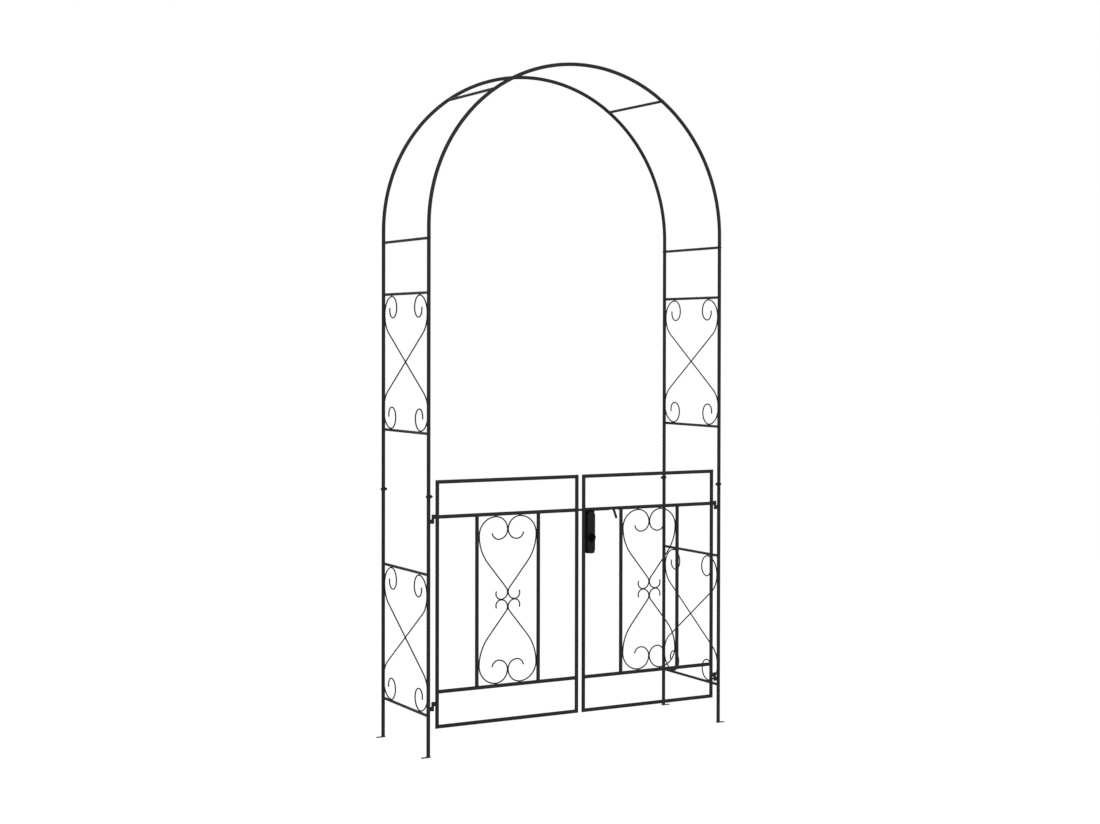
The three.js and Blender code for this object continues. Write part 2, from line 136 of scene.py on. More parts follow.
class GardenArchSizes(bpy.types.PropertyGroup):
    """Sizes of the stock, the welds, the scrolls and the fittings."""

    tube: metres("Tube", "Diameter of the posts, arches and gate", 0.012)
    wall: metres("Tube wall", "Wall of the tube", 0.001)
    rod: metres("Rod", "Diameter of the cross bars", 0.009)
    wire: metres("Wire", "Diameter of the scrolls", 0.004)
    coat: metres("Coat", "Thickness of the paint on tube, rod and wire", 0.0003)
    spigot: metres("Spigot", "Diameter of a narrowed tube end", 0.0094)
    spigot_length: metres("Spigot length", "How far a narrowed end reaches in", 0.04)
    seat: metres("Seat", "Gap between pieces that rest on each other", 0.0003)
    weld: metres("Weld", "How far a weld stands out round a joint", 0.0011)
    edge: metres("Edge", "Rounding of plate and tube edges", 0.0004)
    foot: metres("Foot", "Thickness of the feet", 0.002)
    spring_height: metres("Spring height", "Height where the arches begin to bend", 1.755)
    joint_height: metres("Joint height", "Height of the bolts through the posts", 0.861)
    upright_spacing: metres("Upright spacing", "Between the uprights of a leaf", 0.231)
    panel_pitch: metres("Panel pitch", "From bar to bar of a side panel", 0.4655)
    hinge_barrel: metres("Hinge barrel", "Diameter of the hinges' barrels", 0.009)
    hinge_pin: metres("Hinge pin", "Diameter of the hinges' pins", 0.005)
    hinge_web: metres("Hinge web", "Thickness of the hinges' webs", 0.0045)
    hinge_height: metres("Hinge height", "Height of each half of a hinge", 0.015)
    slide_bolt: metres("Slide bolt", "Diameter of the slide bolt", 0.008)
    slide_run: metres("Slide run", "Straight length of the slide bolt", 0.129)
    handle_bend: metres("Handle bend", "Radius of the slide bolt's handle", 0.014)
    handle_end: metres("Handle end", "Straight end of the handle", 0.028)
    slot_ahead: metres("Slot ahead", "Slot ahead of where the handle's bend starts", 0.009)
    slot_behind: metres("Slot behind", "Slot behind where the handle's bend starts", 0.0282)
    spindle: metres("Spindle", "Diameter of the knob's spindle", 0.008)
    deadbolt: metres("Deadbolt", "Diameter of the lock's bolt", 0.007)


class GardenArchColours(bpy.types.PropertyGroup):
    """Colours of the paint and the fittings."""

    frame_paint: tint("Frame paint", "Paint of the tube and rod", (0.0170, 0.0170, 0.0173))
    wire_paint: tint("Wire paint", "Paint of the scrolls", (0.0070, 0.0070, 0.0072))
    lock_paint: tint("Lock paint", "Paint of the lock's plates", (0.0078, 0.0078, 0.0080))
    # This black is painted shade on the lock's case: it is far darker than the lock's paint so that the
    # case's side stays as dark as the shade beside the stile. The knob takes the same black.
    body_black: tint("Body black", "Moulded case and knob of the lock", (0.0012, 0.0012, 0.0013))
    bolt_paint: tint("Bolt finish", "Blackened bolts", (0.0070, 0.0070, 0.0074))


# Materials

WHITE = (1, 1, 1, 1)

# Orange peel: its share on top of the slow waves, how many times wider those are, and its strength
PEEL_SHARE, WAVE_RATIO, BUMP_STRENGTH = 0.6, 7, 0.6

# Patches: the part of their pattern that changes the gloss and how far the roughness falls and rises, then
# the part that changes the tone and its darkest and lightest share of the colour
GLOSS_SPAN, LESS_ROUGH, MORE_ROUGH = (0.3, 0.7), 0.1, 0.14
TONE_SPAN, DARKER, LIGHTER = (0.32, 0.7), 0.8, 1.16

# Specks of dust and rubbed streaks: the part of the pattern that counts, how much of the lighter shade
# shows at most, and how many times lighter it is
SPECK_RATIO = 0.8
SPECKS = ((0.62, 0.7), 0.5, 3.0)
STREAKS = ((0.5, 0.66), 0.8, 5.0)


def feed(tree, node, inputs):
    """Gives a node its inputs: a socket is linked, and a plain value is set."""
    for name, value in inputs.items():
        if isinstance(value, bpy.types.NodeSocket):
            tree.links.new(value, node.inputs[name])
        else:
            node.inputs[name].default_value = value


def add_node(tree, kind, inputs, output=0, **settings):
    """Adds a shader node and returns one of its outputs."""
    node = tree.nodes.new(f"ShaderNode{kind}")
    for name, value in settings.items():
        setattr(node, name, value)
    feed(tree, node, inputs)
    return node.outputs[output]


def new_material(name):
    """A new material, its nodes and its shader."""
    material = bpy.data.materials.new(name)
    material.use_nodes = True
    return material, material.node_tree, material.node_tree.nodes["Principled BSDF"]


def noise(tree, vector, scale, detail):
    """A cloud pattern on the surface, with so many lumps to the metre."""
    return add_node(tree, "TexNoise", {"Vector": vector, "Scale": scale, "Detail": detail}, "Fac")


def map_range(tree, value, span, low, high):
    """Turns a span of a value into a level between two others."""
    levels = {"From Min": span[0], "From Max": span[1], "To Min": low, "To Max": high}
    return add_node(tree, "MapRange", {"Value": value, **levels})


def ramp(tree, pattern, span, dark, light):
    """Turns a span of a pattern into a step from one colour to another."""
    step = add_node(tree, "ValToRGB", {"Fac": pattern})
    for element, position, colour in zip(step.node.color_ramp.elements, span, (dark, light)):
        element.position = position
        element.color = (*colour, 1)
    return step


def scaled(colour, share):
    return [share * level for level in colour]


def lightened(tree, tone, colour, pattern, span, most, lighter):
    """Blends a lighter shade into the tone by a span of a pattern, and returns its share too."""
    share = ramp(tree, pattern, span, (0, 0, 0), (most, most, most))
    # Sockets 6, 7 and 2 are A, B and Result where colours are mixed
    inputs = {"Factor": share, 6: tone, 7: (*scaled(colour, lighter), 1)}
    return add_node(tree, "Mix", inputs, 2, data_type="RGBA"), share


def painted(name, colour, mottle, grain, roughness, gloss, relief, metallic=0.0, rubbed=None):
    """Sprayed paint: orange peel over slow waves, patches of gloss, specks of dust, and rubbed streaks."""
    material, tree, shader = new_material(name)
    place = add_node(tree, "TexCoord", {}, "Object")
    peel = noise(tree, place, grain, detail=3)
    waves = noise(tree, place, grain / WAVE_RATIO, detail=2)
    height = add_node(tree, "Math", {0: peel, 1: PEEL_SHARE, 2: waves}, operation="MULTIPLY_ADD")
    bump = add_node(tree, "Bump", {"Strength": BUMP_STRENGTH, "Distance": relief, "Height": height})

    patches = noise(tree, place, mottle, detail=6)
    rough = map_range(tree, patches, GLOSS_SPAN, roughness - LESS_ROUGH, roughness + MORE_ROUGH)
    tone = ramp(tree, patches, TONE_SPAN, scaled(colour, DARKER), scaled(colour, LIGHTER))
    specks = noise(tree, place, grain * SPECK_RATIO, detail=5)
    tone, _ = lightened(tree, tone, colour, specks, *SPECKS)
    if rubbed:
        stretched = add_node(tree, "Mapping", {"Vector": place, "Scale": rubbed})
        streaks = noise(tree, stretched, scale=1, detail=4)
        tone, metallic = lightened(tree, tone, colour, streaks, *STREAKS)
    look = {"Base Color": tone, "Metallic": metallic, "Roughness": rough, "Normal": bump}
    feed(tree, shader, {**look, "Specular IOR Level": gloss})
    return material


# Each finish: its name, its colour's property, lumps and grain to the metre, roughness, gloss, relief in
# metres, how metallic it is, and how closely rubbed streaks lie along each axis
FINISHES = {
    "frame_paint": ("Frame paint", "frame_paint", 35, 800, 0.5, 0.08, 0.00003),
    "wire_paint": ("Wire paint", "wire_paint", 60, 1100, 0.5, 0.08, 0.00002),
    "lock_paint": ("Lock paint", "lock_paint", 90, 1400, 0.46, 0.08, 0.00002),
    # The black of the lock's case and knob: on the case it is painted shade, far darker than the lock's
    # paint, in place of the shade on the case's side beside the stile
    "body_black": ("Body black", "body_black", 150, 2000, 0.4, 0.03, 0.00002),
    "bolt_paint": ("Bolt finish", "bolt_paint", 300, 2200, 0.4, 0.2, 0.00001, 0.2),
    "sliding_bolt": ("Rubbed bolt", "bolt_paint", 120, 2200, 0.4, 0.2, 0.00001, 0.0, (14, 500, 500)),
}
MATERIALS = {}


def make_materials(colours):
    """A finish for each material slot of the record, a black for the lock's case and knob that on the case
    is painted shade, and the bolts that slide.
    """
    for finish, (name, colour, *look) in FINISHES.items():
        MATERIALS[finish] = painted(name, getattr(colours, colour), *look)


# Modelling helpers


def mode(name):
    bpy.ops.object.mode_set(mode=name)


def mark(action="SELECT"):
    """Selects the whole mesh in edit mode, or nothing of it."""
    bpy.ops.mesh.select_all(action=action)


def deselect():
    bpy.ops.object.select_all(action="DESELECT")


def select(*pieces):
    """Selects these pieces, with the first one active."""
    deselect()
    for piece in pieces:
        piece.select_set(True)
    bpy.context.view_layer.objects.active = pieces[0]


def pick(piece, chosen):
    """Selects the vertices of the piece in edit mode whose place is chosen, and nothing else."""
    mark("DESELECT")
    mode("OBJECT")
    for vertex in piece.data.vertices:
        vertex.select = chosen(vertex.co)
    mode("EDIT")


class Drawn:
    """A round bar that is drawn on from a circle, with its open end selected in edit mode."""

    def __init__(self, start, heading, radius, sides=TUBE_SIDES, axis=FRONT, filled=True):
        self.at = Vector(start)
        self.heading = Vector(heading).normalized()
        self.axis = axis
        self.radius = radius
        deselect()
        bpy.ops.mesh.primitive_circle_add(
            vertices=sides,
            radius=radius,
            fill_type="NGON" if filled else "NOTHING",
            location=self.at,
            rotation=self.heading.to_track_quat("Z", "Y").to_euler(),
        )
        bpy.ops.object.transform_apply(location=True, rotation=True, scale=True)
        self.piece = bpy.context.active_object
        mode("EDIT")
        mark()

    def on(self, length, radius=None):
        """Draws on by a length, or back where it is negative, and narrows or widens the end."""
        step = self.heading * length
        self.at = self.at + step
        bpy.ops.mesh.extrude_region_move(TRANSFORM_OT_translate={"value": tuple(step)})
        if radius is not None:
            share = radius / self.radius
            bpy.ops.transform.resize(value=(share, share, share), center_override=tuple(self.at))
            self.radius = radius
        return self

    def bend(self, radius, turn, step=WIRE_STEP):
        """Bends the bar about its axis, to the left where the turn is positive."""
        centre = self.at + self.axis.cross(self.heading) * copysign(radius, turn)
        steps = max(1, ceil(abs(turn) / step))
        bpy.ops.mesh.spin(steps=steps, angle=-turn, center=tuple(centre), axis=tuple(self.axis))
        turned = Matrix.Rotation(turn, 3, self.axis)
        self.at = centre + turned @ (self.at - centre)
        self.heading = turned @ self.heading
        return self

    def along(self, outline, stretch=1.0, size=1.0):
        """Draws on by the steps of an outline: how far each goes on, and the radius that it ends at."""
        for length, radius in outline:
            self.on(length * stretch, radius * size)
        return self

    def mouth(self, wall, depth):
        """Ends a tube with its open mouth: the rim and the wall inside."""
        return self.on(0, self.radius - wall).on(-depth)

    def done(self, edge=0):
        """Closes the piece and rounds its hard edges by so much."""
        return closed(self.piece, edge)


def closed(piece, edge=0, merged=MERGED):
    """Closes the piece in edit mode: its faces point outwards and its hard edges are rounded."""
    mark()
    bpy.ops.mesh.remove_doubles(threshold=merged)
    bpy.ops.mesh.normals_make_consistent(inside=False)
    if edge:
        round_edges(edge)
    return finished(piece)


def round_edges(edge):
    """Rounds the sharp edges of the piece in edit mode."""
    mark("DESELECT")
    bpy.ops.mesh.select_mode(type="EDGE")
    bpy.ops.mesh.edges_select_sharp(sharpness=SHARP_ANGLE)
    bpy.ops.mesh.bevel(offset=edge, segments=EDGE_SEGMENTS, affect="EDGES", clamp_overlap=True)
    bpy.ops.mesh.select_mode(type="VERT")


def finished(piece):
    """Leaves edit mode and shades the piece."""
    mode("OBJECT")
    select(piece)
    bpy.ops.object.shade_smooth_by_angle(angle=SMOOTH_ANGLE)
    return piece


def box(low, high):
    """A plain box between two corners, in edit mode."""
    deselect()
    bpy.ops.mesh.primitive_cube_add(size=1, location=(low + high) / 2, scale=high - low)
    bpy.ops.object.transform_apply(location=True, rotation=True, scale=True)
    mode("EDIT")
    return bpy.context.active_object


def block(low, high, edge):
    """A flat bar or web between two corners, with its edges rounded."""
    piece = box(Vector(low), Vector(high))
    round_edges(edge)
    return finished(piece)


def joined(*pieces):
    """Several closed parts made one piece."""
    select(*pieces)
    bpy.ops.object.join()
    return pieces[0]


def cut(piece, *tools):
    """Cuts the tools out of the piece and removes them."""
    for tool in tools:
        select(piece)
        modifier = piece.modifiers.new("Cut", "BOOLEAN")
        modifier.operation = "DIFFERENCE"
        modifier.solver = "EXACT"
        modifier.object = tool
        bpy.ops.object.modifier_apply(modifier=modifier.name)
        bpy.data.objects.remove(tool)
    return finished(piece)


def copied(piece, place):
    """A copy with its own mesh, moved by a matrix."""
    new = piece.copy()
    new.data = piece.data.copy()
    new.data.transform(place)
    bpy.context.scene.collection.objects.link(new)
    return new


def half_turn(about):
    """A half turn about an upright line, which takes the left side to the right."""
    return Matrix.Translation(about) @ Matrix.Rotation(pi, 4, "Z") @ Matrix.Translation(-about)


def moved(x=0.0, y=0.0, z=0.0):
    return Matrix.Translation((x, y, z))


def dress(piece, *nodes, finish=None):
    """The piece stands for these nodes: it rides on their body and takes their finish."""
    node = nodes[0]
    attach(piece, f"painted_{node}", frame["nodes"][node]["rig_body"], SLOT_OF[node], finish)
    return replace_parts(piece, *nodes)


def attach(piece, name, body, slot, finish=None):
    """Names the piece, which rides on a body and takes the finish of its slot, or another one."""
    piece.name = piece.data.name = name
    piece.data.materials.clear()
    piece.data.materials.append(MATERIALS[finish or slot])
    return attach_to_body(piece, body)


def both_sides(piece, node, about, swap_ends=False):
    """Dresses a piece of the left side and its copy, turned round, for the right side."""
    other = node.replace("left", "right", 1)
    if swap_ends:
        here, there = ENDS if "front" in node else ENDS[::-1]
        other = other.replace(here, there)
    twin = copied(piece, half_turn(about))
    dress(piece, node)
    dress(twin, other)


# A welded end, in shares of its tube's radius: a bar thinner than the first is sunk in by the second, and
# its bead is thickest at the third, but at least the fourth further on. Then the radius of the bar's very
# end, as a share of its own, and how far the bead stands out, as a share of the weld.
THICK_BAR, SUNK_END, CREST, RISE = 0.9, 0.45, 0.5, 0.15
BAR_END, BEAD = 0.94, 0.75


def welded_bar(start, end, radius, sizes, bore=0.0):
    """A bar between two tubes, with a bead of weld at each end that runs up from the tube."""
    start, end = Vector(start), Vector(end)
    way, length = (end - start).normalized(), (end - start).length
    host, weld = sizes.tube / 2, sizes.weld
    sink = 0.0 if radius >= host * THICK_BAR else host * SUNK_END
    crest = max(host * CREST, sink + host * RISE)
    tail = host + weld
    root, bead = radius * BAR_END, radius + weld * BEAD
    bar = Drawn(start + way * sink, way, root, filled=bore == 0)
    bar.on(crest - sink, bead).on(tail - crest, radius)
    bar.on(length - 2 * tail).on(tail - crest, bead).on(crest - sink, root)
    if bore:
        bar.on(0, bore).on(2 * sink - length).on(0, root)
    return bar.done()


# Scrolls, drawn flat about their middle: across is the horizontal direction of their plane


def trace(point, heading, moves):
    """Where a run of bends ends, and its heading there."""
    for radius, turn in moves:
        left = Vector((-sin(heading), cos(heading)))
        centre = point + left * copysign(radius, turn)
        spoke = point - centre
        point = centre + Vector(
            (spoke.x * cos(turn) - spoke.y * sin(turn), spoke.x * sin(turn) + spoke.y * cos(turn))
        )
        heading += turn
    return point, heading


def sweep(width, height, share):
    """A wide bend and the straight after it, from a curl to where the wire crosses over."""
    reach = share * (width**2 + height**2) / (2 * width)
    straight = sqrt((width - reach) ** 2 + height**2 - reach**2)
    turn = atan2(straight, -reach) - atan2(height, width - reach)
    return reach, straight, turn


# The rounded tip of a wire, as shares of its diameter: its length and the radius at its end
TIP_LENGTH, TIP_RADIUS = 0.12, 0.3


def drawn_wire(diameter, across, start, arcs, rest, lift=Vector((0, 0, 0))):
    """A bent wire from the tip of its first curl, whose arcs are given from the side inwards."""
    tip, heading = trace(start, pi / 2, arcs)
    heading += pi
    at = across * tip.x + UP * tip.y + lift
    way = across * cos(heading) + UP * sin(heading)
    wire = Drawn(at, way, diameter * TIP_RADIUS, WIRE_SIDES, across.cross(UP))
    wire.on(diameter * TIP_LENGTH, diameter / 2)
    moves = [(radius, -turn) for radius, turn in reversed(arcs)] + rest
    for size, turn in moves:
        if turn:
            wire.bend(size, turn)
        else:
            wire.on(size)
    wire.on(diameter * TIP_LENGTH, diameter * TIP_RADIUS)
    return wire.done()


# The curls: how far they reach in from the side, in metres, and each arc's radius, as a share of that, and
# turn in degrees. The small curls' shares are of half the scroll's width.
CURL_REACH = 0.105881
GATE_CURL = ((0.585, 90), (0.415, 90), (0.31, 90), (0.235, 82))
SIDE_CURL = ((0.585, 90), (0.38, 90), (0.31, 90), (0.25, 105))
SMALL_CURL = ((0.225, 90), (0.18, 115))

# The radius of the wide bends between curls, as a share of the widest that fits
GATE_SWEEP_SHARE = 0.76
SIDE_SWEEP_SHARE = 0.47


def curl(shares, reach=CURL_REACH):
    """A curl's arcs, each tighter than the last."""
    return [(share * reach, -radians(turn)) for share, turn in shares]


# A spot of weld, in shares of its radius: half its length, the radius at its ends, and its outline
SPOT_HALF, SPOT_END = 1.6, 0.45
SPOT = ((0.5, 0.85), (0.6, 1.04), (1.0, 1.04), (0.6, 0.85), (0.5, 0.45))


def spot(place, radius, along):
    """A spot of weld between two wires."""
    way = Vector(along).normalized()
    bead = Drawn(Vector(place) - way * radius * SPOT_HALF, way, radius * SPOT_END, WIRE_SIDES)
    return bead.along(SPOT, radius, radius).done()


class ArchOperator:
    """What the operators share: they can be undone and work in object mode."""

    bl_options = {"REGISTER", "UNDO"}

    @classmethod
    def poll(cls, context):
        return context.mode == "OBJECT"


# The camera, solved from the photograph and tilted a little to take in the whole arch in other views
CAMERA_PLACE = (-3.1290, -5.8426, 1.3686)
CAMERA_TURN = (89.4, -0.136, -31.009)
CAMERA_SETTINGS = {"sensor_width": 36, "lens": 61.44, "shift_x": -0.0903, "shift_y": -0.0448}

# The floor, a hair under the feet: its reach, its grey, and how brightly and how much of it glows where
# it is seen directly. The surroundings' strength is the first level as light and the second where seen.
FLOOR_RADIUS, FLOOR_SIDES, FLOOR_DROP = 40, 96, 0.0005
FLOOR_COLOUR = (0.93, 0.93, 0.93, 1)
FLOOR_GLOW, GLOW_SHARE = 1.08, 0.9
WORLD_LEVELS = (0.35, 1.0)

# The lamps, with their places and watts, and the point that they face
LAMPS = (
    ("Key lamp", (-1.6, -5.6, 4.2), 290),
    ("Fill lamp", (4.0, -4.0, 3.0), 30),
    ("Back lamp", (1.0, 5.0, 4.0), 40),
)
LAMP_SIZE = 3.0
LAMP_AIM = Vector((0, 0, 1.1))


class GARDENARCH_OT_stage(ArchOperator, bpy.types.Operator):
    """Makes the finishes, the camera, the pale floor, the white surroundings and the soft lamps"""

    bl_idname = "garden_arch.stage"
    bl_label = "Stage and Finishes"

    def execute(self, context):
        make_materials(context.scene.garden_arch_colours)
        self.camera(context.scene)
        self.floor()
        self.world(context.scene)
        self.lamps()
        context.scene.view_settings.view_transform = "Standard"
        return {"FINISHED"}

    def camera(self, scene):
        turn = [radians(angle) for angle in CAMERA_TURN]
        bpy.ops.object.camera_add(location=CAMERA_PLACE, rotation=turn)
        camera = bpy.context.active_object
        camera.name = "Camera"
        for name, value in CAMERA_SETTINGS.items():
            setattr(camera.data, name, value)
        scene.camera = camera

    def seen_directly(self, tree):
        """One where a ray comes from the camera, a reflection or through glass."""
        path = tree.nodes.new("ShaderNodeLightPath").outputs
        seen = path["Is Camera Ray"]
        for other in ("Is Glossy Ray", "Is Transmission Ray"):
            seen = add_node(tree, "Math", {0: seen, 1: path[other]}, operation="MAXIMUM")
        return seen

    def floor(self):
        deselect()
        bpy.ops.mesh.primitive_circle_add(
            vertices=FLOOR_SIDES, radius=FLOOR_RADIUS, fill_type="NGON", location=(0, 0, -FLOOR_DROP)
        )
        floor = bpy.context.active_object
        floor.name = "Floor"
        material, tree, shader = new_material("Pale floor")
        tree.nodes.remove(shader)
        matt = add_node(tree, "BsdfDiffuse", {"Color": FLOOR_COLOUR})
        glow = add_node(tree, "Emission", {"Color": WHITE, "Strength": FLOOR_GLOW})
        share = add_node(tree, "Math", {0: self.seen_directly(tree), 1: GLOW_SHARE}, operation="MULTIPLY")
        mix = add_node(tree, "MixShader", {"Fac": share, 1: matt, 2: glow})
        feed(tree, tree.nodes["Material Output"], {"Surface": mix})
        floor.data.materials.append(material)

    def world(self, scene):
        world = scene.world or bpy.data.worlds.new("World")
        scene.world = world
        world.use_nodes = True
        tree = world.node_tree
        strength = map_range(tree, self.seen_directly(tree), (0, 1), *WORLD_LEVELS)
        feed(tree, tree.nodes["Background"], {"Color": WHITE, "Strength": strength})

    def lamps(self):
        for name, place, power in LAMPS:
            aim = (LAMP_AIM - Vector(place)).to_track_quat("-Z", "Y").to_euler()
            bpy.ops.object.light_add(type="AREA", location=place, rotation=aim)
            lamp = bpy.context.active_object
            lamp.name = name
            lamp.data.size = LAMP_SIZE
            lamp.data.energy = power


# The tongue of a foot: how round its corners are, as a share of the foot's width, and their segments
TONGUE_ROUNDING, TONGUE_SEGMENTS = 0.42, 6


class GARDENARCH_OT_posts(ArchOperator, bpy.types.Operator):
    """Makes the four posts with their feet, and the narrowed ends that join them"""

    bl_idname = "garden_arch.posts"
    bl_label = "Posts"

    def execute(self, context):
        sizes = context.scene.garden_arch_sizes
        for end in ENDS:
            lower, upper = (f"left_{end}_{part}_post" for part in ("lower", "upper"))
            low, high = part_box(lower)
            foot_top = low.z + sizes.foot
            y = middle(upper).y
            skin = sizes.tube / 2 + sizes.coat
            bar = Drawn((POST.x, y, foot_top), UP, skin + 2 * sizes.weld)
            bar.on(sizes.weld, skin + sizes.weld).on(2 * sizes.weld, skin)
            bar.on(high.z - foot_top - 3 * sizes.weld)
            post = bar.mouth(sizes.wall + sizes.coat, sizes.spigot_length / 2).done()
            foot = self.foot(low, Vector((high.x, high.y, foot_top)), sizes)
            both_sides(joined(post, foot), lower, CENTRE, swap_ends=True)

            low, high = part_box(upper)
            shoulder = high.z - low.z - sizes.spigot_length
            bar = Drawn((POST.x, y, low.z), UP, sizes.spigot / 2 - sizes.edge)
            bar.on(sizes.edge, sizes.spigot / 2).on(sizes.spigot_length)
            bar.on(0, skin - sizes.edge).on(sizes.edge, skin)
            bar.on(shoulder - 2 * sizes.edge).mouth(sizes.wall + sizes.coat, sizes.spigot_length)
            both_sides(bar.done(), upper, CENTRE, swap_ends=True)
        return {"FINISHED"}

    def foot(self, low, high, sizes):
        """A flat foot with a rounded tongue that reaches outwards."""
        piece = box(low, high)
        bpy.ops.mesh.select_mode(type="EDGE")
        mark("DESELECT")
        mode("OBJECT")
        for edge in piece.data.edges:
            ends = [piece.data.vertices[k].co for k in edge.vertices]
            outer = all(co.x < low.x + sizes.edge for co in ends)
            edge.select = outer and abs(ends[0].z - ends[1].z) > sizes.edge
        mode("EDIT")
        offset = (high.y - low.y) * TONGUE_ROUNDING
        bpy.ops.mesh.bevel(offset=offset, segments=TONGUE_SEGMENTS, affect="EDGES")
        round_edges(sizes.edge)
        return finished(piece)


class GARDENARCH_OT_arches(ArchOperator, bpy.types.Operator):
    """Makes the two arches, each of two side stretches and a crown"""

    bl_idname = "garden_arch.arches"
    bl_label = "Arches"

    def execute(self, context):
        sizes = context.scene.garden_arch_sizes
        radius = -POST.x
        skin = sizes.tube / 2 + sizes.coat
        spring_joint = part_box("left_front_upper_post")[1].z
        gap = sizes.seat / radius
        reach = sizes.spigot_length / radius
        joint = ARCH_BAR_ANGLE - reach / 2
        arches = (("front", 0), ("back", BACK_Y - FRONT_Y))

        start = (POST.x, FRONT_Y, spring_joint + sizes.seat - sizes.spigot_length)
        bar = Drawn(start, UP, sizes.spigot / 2 - sizes.edge, axis=BACK)
        bar.on(sizes.edge, sizes.spigot / 2).on(sizes.spigot_length - sizes.edge)
        bar.on(0, skin - sizes.edge).on(sizes.edge, skin)
        bar.on(sizes.spring_height - spring_joint - sizes.seat - sizes.edge)
        bar.bend(radius, pi / 2 - joint, TUBE_STEP).mouth(sizes.wall + sizes.coat, sizes.spigot_length / 4)
        stretch = bar.done()
        for end, step in arches:
            for side, turn in (("left", Matrix()), ("right", half_turn(GATE))):
                dress(copied(stretch, moved(y=step) @ turn), f"{end}_arch_{side}")
        bpy.data.objects.remove(stretch)

        angle = joint + reach
        start = Vector((-sin(angle) * radius, FRONT_Y, cos(angle) * radius + sizes.spring_height))
        heading = Vector((cos(angle), 0, sin(angle)))
        bar = Drawn(start, heading, sizes.spigot / 2, axis=BACK)
        bar.bend(radius, reach + gap, TUBE_STEP / 2).on(0, skin - sizes.edge)
        bar.on(sizes.edge, skin).bend(radius, 2 * (joint - gap) - 2 * sizes.edge / radius, TUBE_STEP)
        bar.on(sizes.edge, skin - sizes.edge).on(0, sizes.spigot / 2)
        crown = bar.bend(radius, reach + gap, TUBE_STEP / 2).done()
        for end, step in arches:
            dress(copied(crown, moved(y=step)), f"{end}_arch_crown")
        bpy.data.objects.remove(crown)
        return {"FINISHED"}


class GARDENARCH_OT_bars(ArchOperator, bpy.types.Operator):
    """Makes the bars between the two arches: welded in the side panels, screwed above them"""

    bl_idname = "garden_arch.bars"
    bl_label = "Cross Bars"

    def execute(self, context):
        sizes = context.scene.garden_arch_sizes
        for k in (1, 2, 3, 4):
            node = f"left_panel_bar_{k}"
            at = middle(node)
            ends = ((at.x, FRONT_Y, at.z), (at.x, BACK_Y, at.z))
            both_sides(welded_bar(*ends, sizes.rod / 2 + sizes.coat, sizes), node, CENTRE)
        for node in ("left_spring_bar", "left_arch_bar"):
            at = middle(node)
            sink = sizes.tube / 4
            bar = Drawn((at.x, FRONT_Y + sink, at.z), BACK, sizes.rod / 2 + sizes.coat)
            both_sides(bar.on(BACK_Y - FRONT_Y - 2 * sink).done(), node, CENTRE)
            self.screws(at, node, sizes)
        return {"FINISHED"}

    def screws(self, at, node, sizes):
        """A domed screw at each end of the bar, on the outside of the tube."""
        front = domed_screw(Vector((at.x, FRONT_Y - sizes.tube / 2, at.z)), FRONT, sizes.edge)
        right = copied(front, moved(-2 * at.x))
        backs = [copied(piece, half_turn(CENTRE)) for piece in (front, right)]
        name = node.replace("left_", "") + "_screws"
        attach(joined(front, right, *backs), name, "arch_frame", "bolt_paint")


# A domed screw: the radius of its head and, in shares of that, its washer and the head's outline, which
# ends with the socket
SCREW_RADIUS = 0.0042
WASHER_RADIUS, WASHER_SINK, WASHER_HEIGHT, HEAD_RISE = 1.15, 0.5, 0.6, 0.1
SCREW_HEAD = ((0.2, 1.0), (0.2, 0.93), (0.17, 0.75), (0.1, 0.48), (-0.35, 0.48))


def domed_screw(seat, way, edge):
    """A domed screw head with a round socket, on a washer, that stands on its seat."""
    size = SCREW_RADIUS
    washer = Drawn(seat - way * size * WASHER_SINK, way, size * WASHER_RADIUS)
    washer = washer.on(size * WASHER_HEIGHT).done(edge / 2)
    head = Drawn(seat + way * size * HEAD_RISE, way, size).along(SCREW_HEAD, size, size).done()
    return joined(head, washer)


# Where the wires of a side scroll cross: the spot's size as a share of the wire, and its two slants
CROSSING_SPOT = 0.62
CROSSING_SLANTS = (0.6, -0.6)


class GARDENARCH_OT_side_scrolls(ArchOperator, bpy.types.Operator):
    """Makes the four side scrolls, each of two crossed wires with a curl in each corner"""

    bl_idname = "garden_arch.side_scrolls"
    bl_label = "Side Scrolls"

    def execute(self, context):
        sizes = context.scene.garden_arch_sizes
        width = (BACK_Y - FRONT_Y - sizes.tube - sizes.wire) / 2 - sizes.seat
        height = (sizes.panel_pitch - sizes.rod - sizes.wire) / 2 - sizes.seat
        arcs = curl(SIDE_CURL)
        start = Vector((-width, height - arcs[0][0]))
        reach, straight, turn = sweep(width, start.y, SIDE_SWEEP_SHARE)
        rest = [(reach, turn), (2 * straight, 0), (reach, -turn), *arcs]
        lift = LEFT * (sizes.wire / 2 - sizes.seat)
        one = drawn_wire(sizes.wire + 2 * sizes.coat, BACK, start, arcs, rest, lift)
        two = copied(one, half_turn(Vector()))
        radius = sizes.wire / 2
        middle_spot = sizes.wire * CROSSING_SPOT
        spots = [spot((0, 0, 0), middle_spot, (0, sin(slant), cos(slant))) for slant in CROSSING_SLANTS]
        for y in (-1, 1):
            for z in (-1, 1):
                spots.append(spot((0, y * (width + radius), z * start.y), radius, UP))
                spots.append(spot((0, y * (width - arcs[0][0]), z * (height + radius)), radius, BACK))
        scroll = joined(one, two, *spots)
        for level in ("lower", "upper"):
            node = f"left_{level}_scroll"
            place = moved(POST.x, CENTRE.y, middle(node).z)
            both_sides(copied(scroll, place), node, CENTRE)
        bpy.data.objects.remove(scroll)
        return {"FINISHED"}


